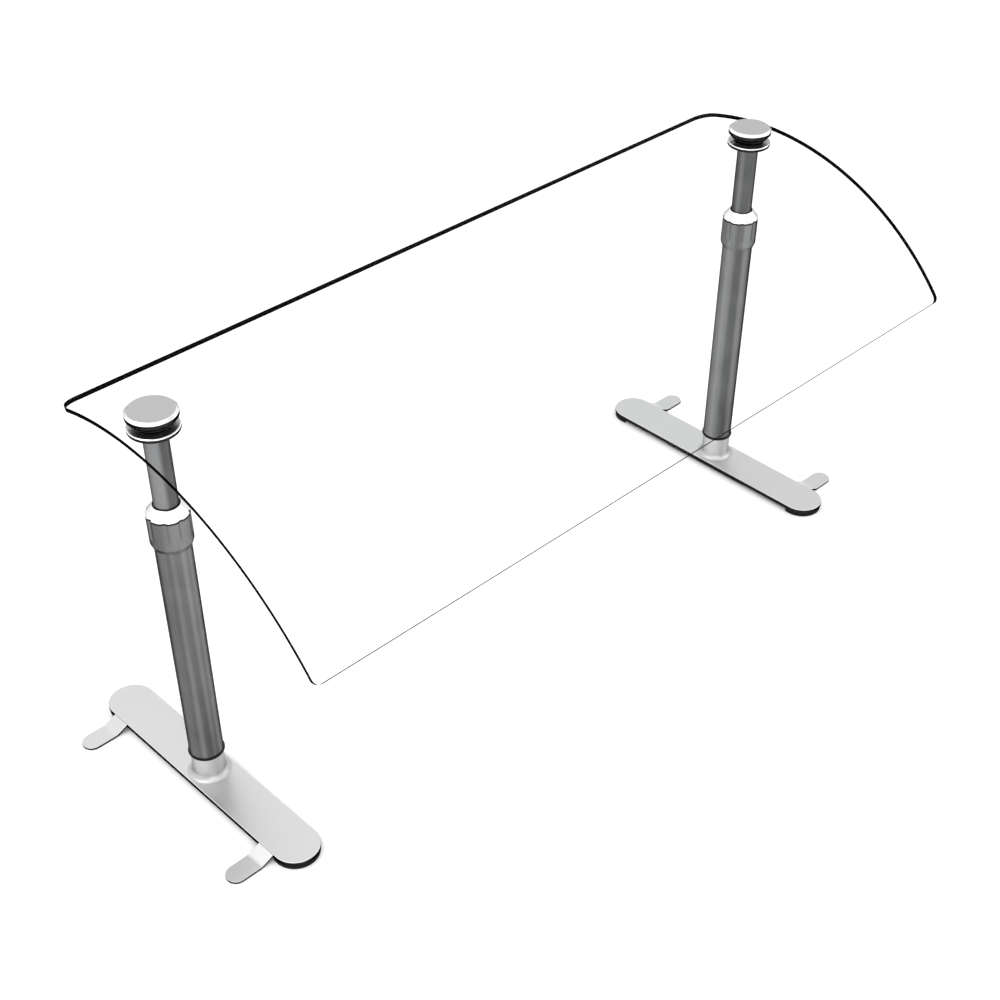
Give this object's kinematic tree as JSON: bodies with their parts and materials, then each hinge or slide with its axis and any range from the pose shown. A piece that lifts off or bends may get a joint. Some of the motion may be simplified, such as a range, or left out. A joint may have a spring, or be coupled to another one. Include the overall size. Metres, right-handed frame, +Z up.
{
  "type": "sneeze guard",
  "caption": "Curved glass sneeze guard for a buffet counter, clamped at its crest on telescoping tubular posts with flat feet, side lugs and twist-lock collars.",
  "frame": {"origin": "on the counter, at the middle of the footprint: the centre of the box's underside", "axes": "+X along the glass, -Y towards the customer and the low edge of the glass, +Y towards the server, +Z up"},
  "size_m": [1.038, 0.4539, 0.4944],
  "materials": {
    "clear_glass": "clear toughened glass, edges ground and polished dark",
    "satin_steel": "fine satin, grained along the plate",
    "polished_steel": "turned and polished",
    "brushed_tube": "brushed along the tube",
    "collar_steel": "turned, with a bright cone",
    "cap_steel": "turned, satin face and bright chamfer",
    "inner_steel": "machined",
    "foot_rubber": "matt black",
    "seal_rubber": "smooth black",
    "nylon": "natural nylon"
  },
  "bodies": {
    "left_base": {"left_base_plate": "satin_steel", "left_side_lugs": "satin_steel", "left_end_pads": "foot_rubber", "left_centre_pad": "foot_rubber", "left_base_screw": "inner_steel", "left_post_hub": "polished_steel", "left_foot_ring": "seal_rubber", "left_outer_tube": "brushed_tube", "left_tube_head": "inner_steel"},
    "left_sleeve": {"left_grip_sleeve": "nylon"},
    "left_collar": {"left_lock_collar": "collar_steel", "left_wiper_ring": "seal_rubber"},
    "left_cap": {"left_clamp_cap": "cap_steel"},
    "right_base": {"right_base_plate": "satin_steel", "right_side_lugs": "satin_steel", "right_end_pads": "foot_rubber", "right_centre_pad": "foot_rubber", "right_base_screw": "inner_steel", "right_post_hub": "polished_steel", "right_foot_ring": "seal_rubber", "right_outer_tube": "brushed_tube", "right_tube_head": "inner_steel"},
    "right_sleeve": {"right_grip_sleeve": "nylon"},
    "right_collar": {"right_lock_collar": "collar_steel", "right_wiper_ring": "seal_rubber"},
    "right_cap": {"right_clamp_cap": "cap_steel"},
    "screen": {"glass_panel": "clear_glass", "left_inner_tube": "brushed_tube", "left_guide_bush": "nylon", "left_bush_pin": "inner_steel", "left_tube_plug": "inner_steel", "left_lower_disc": "polished_steel", "left_lower_gasket": "seal_rubber", "left_glass_sleeve": "nylon", "left_upper_gasket": "seal_rubber", "left_clamp_stud": "inner_steel", "right_inner_tube": "brushed_tube", "right_guide_bush": "nylon", "right_bush_pin": "inner_steel", "right_tube_plug": "inner_steel", "right_lower_disc": "polished_steel", "right_lower_gasket": "seal_rubber", "right_glass_sleeve": "nylon", "right_upper_gasket": "seal_rubber", "right_clamp_stud": "inner_steel"}
  },
  "joints": [
    {"name": "left_foot_swivel", "type": "hinge", "parent": "left_base", "child": "left_sleeve", "pos_m": [-0.44, 0.04696, 0.355], "axis": [0, 0, 1], "continuous": true},
    {"name": "left_height", "type": "slide", "parent": "left_sleeve", "child": "screen", "axis": [0, 0, 1], "range_m": [-0.082, 0.12]},
    {"name": "right_height", "type": "slide", "parent": "screen", "child": "right_sleeve", "axis": [0, 0, -1], "range_m": [-0.082, 0.12]},
    {"name": "right_foot_swivel", "type": "hinge", "parent": "right_sleeve", "child": "right_base", "pos_m": [0.44, 0.04696, 0.355], "axis": [0, 0, 1], "continuous": true},
    {"name": "left_collar_turn", "type": "hinge", "parent": "left_base", "child": "left_collar", "pos_m": [-0.44, 0.04696, 0.3545], "axis": [0, 0, 1], "range_deg": [0, 120]},
    {"name": "right_collar_turn", "type": "hinge", "parent": "right_base", "child": "right_collar", "pos_m": [0.44, 0.04696, 0.3545], "axis": [0, 0, 1], "range_deg": [0, 120]},
    {"name": "left_cap_turn", "type": "hinge", "parent": "screen", "child": "left_cap", "pos_m": [-0.44, 0.04696, 0.489], "axis": [0, 0, 1], "range_deg": [0, 360]},
    {"name": "right_cap_turn", "type": "hinge", "parent": "screen", "child": "right_cap", "pos_m": [0.44, 0.04696, 0.489], "axis": [0, 0, 1], "range_deg": [0, 360]}
  ],
  "couplings": [
    {"joint": "right_height", "follows": "left_height", "ratio": 1}
  ]
}
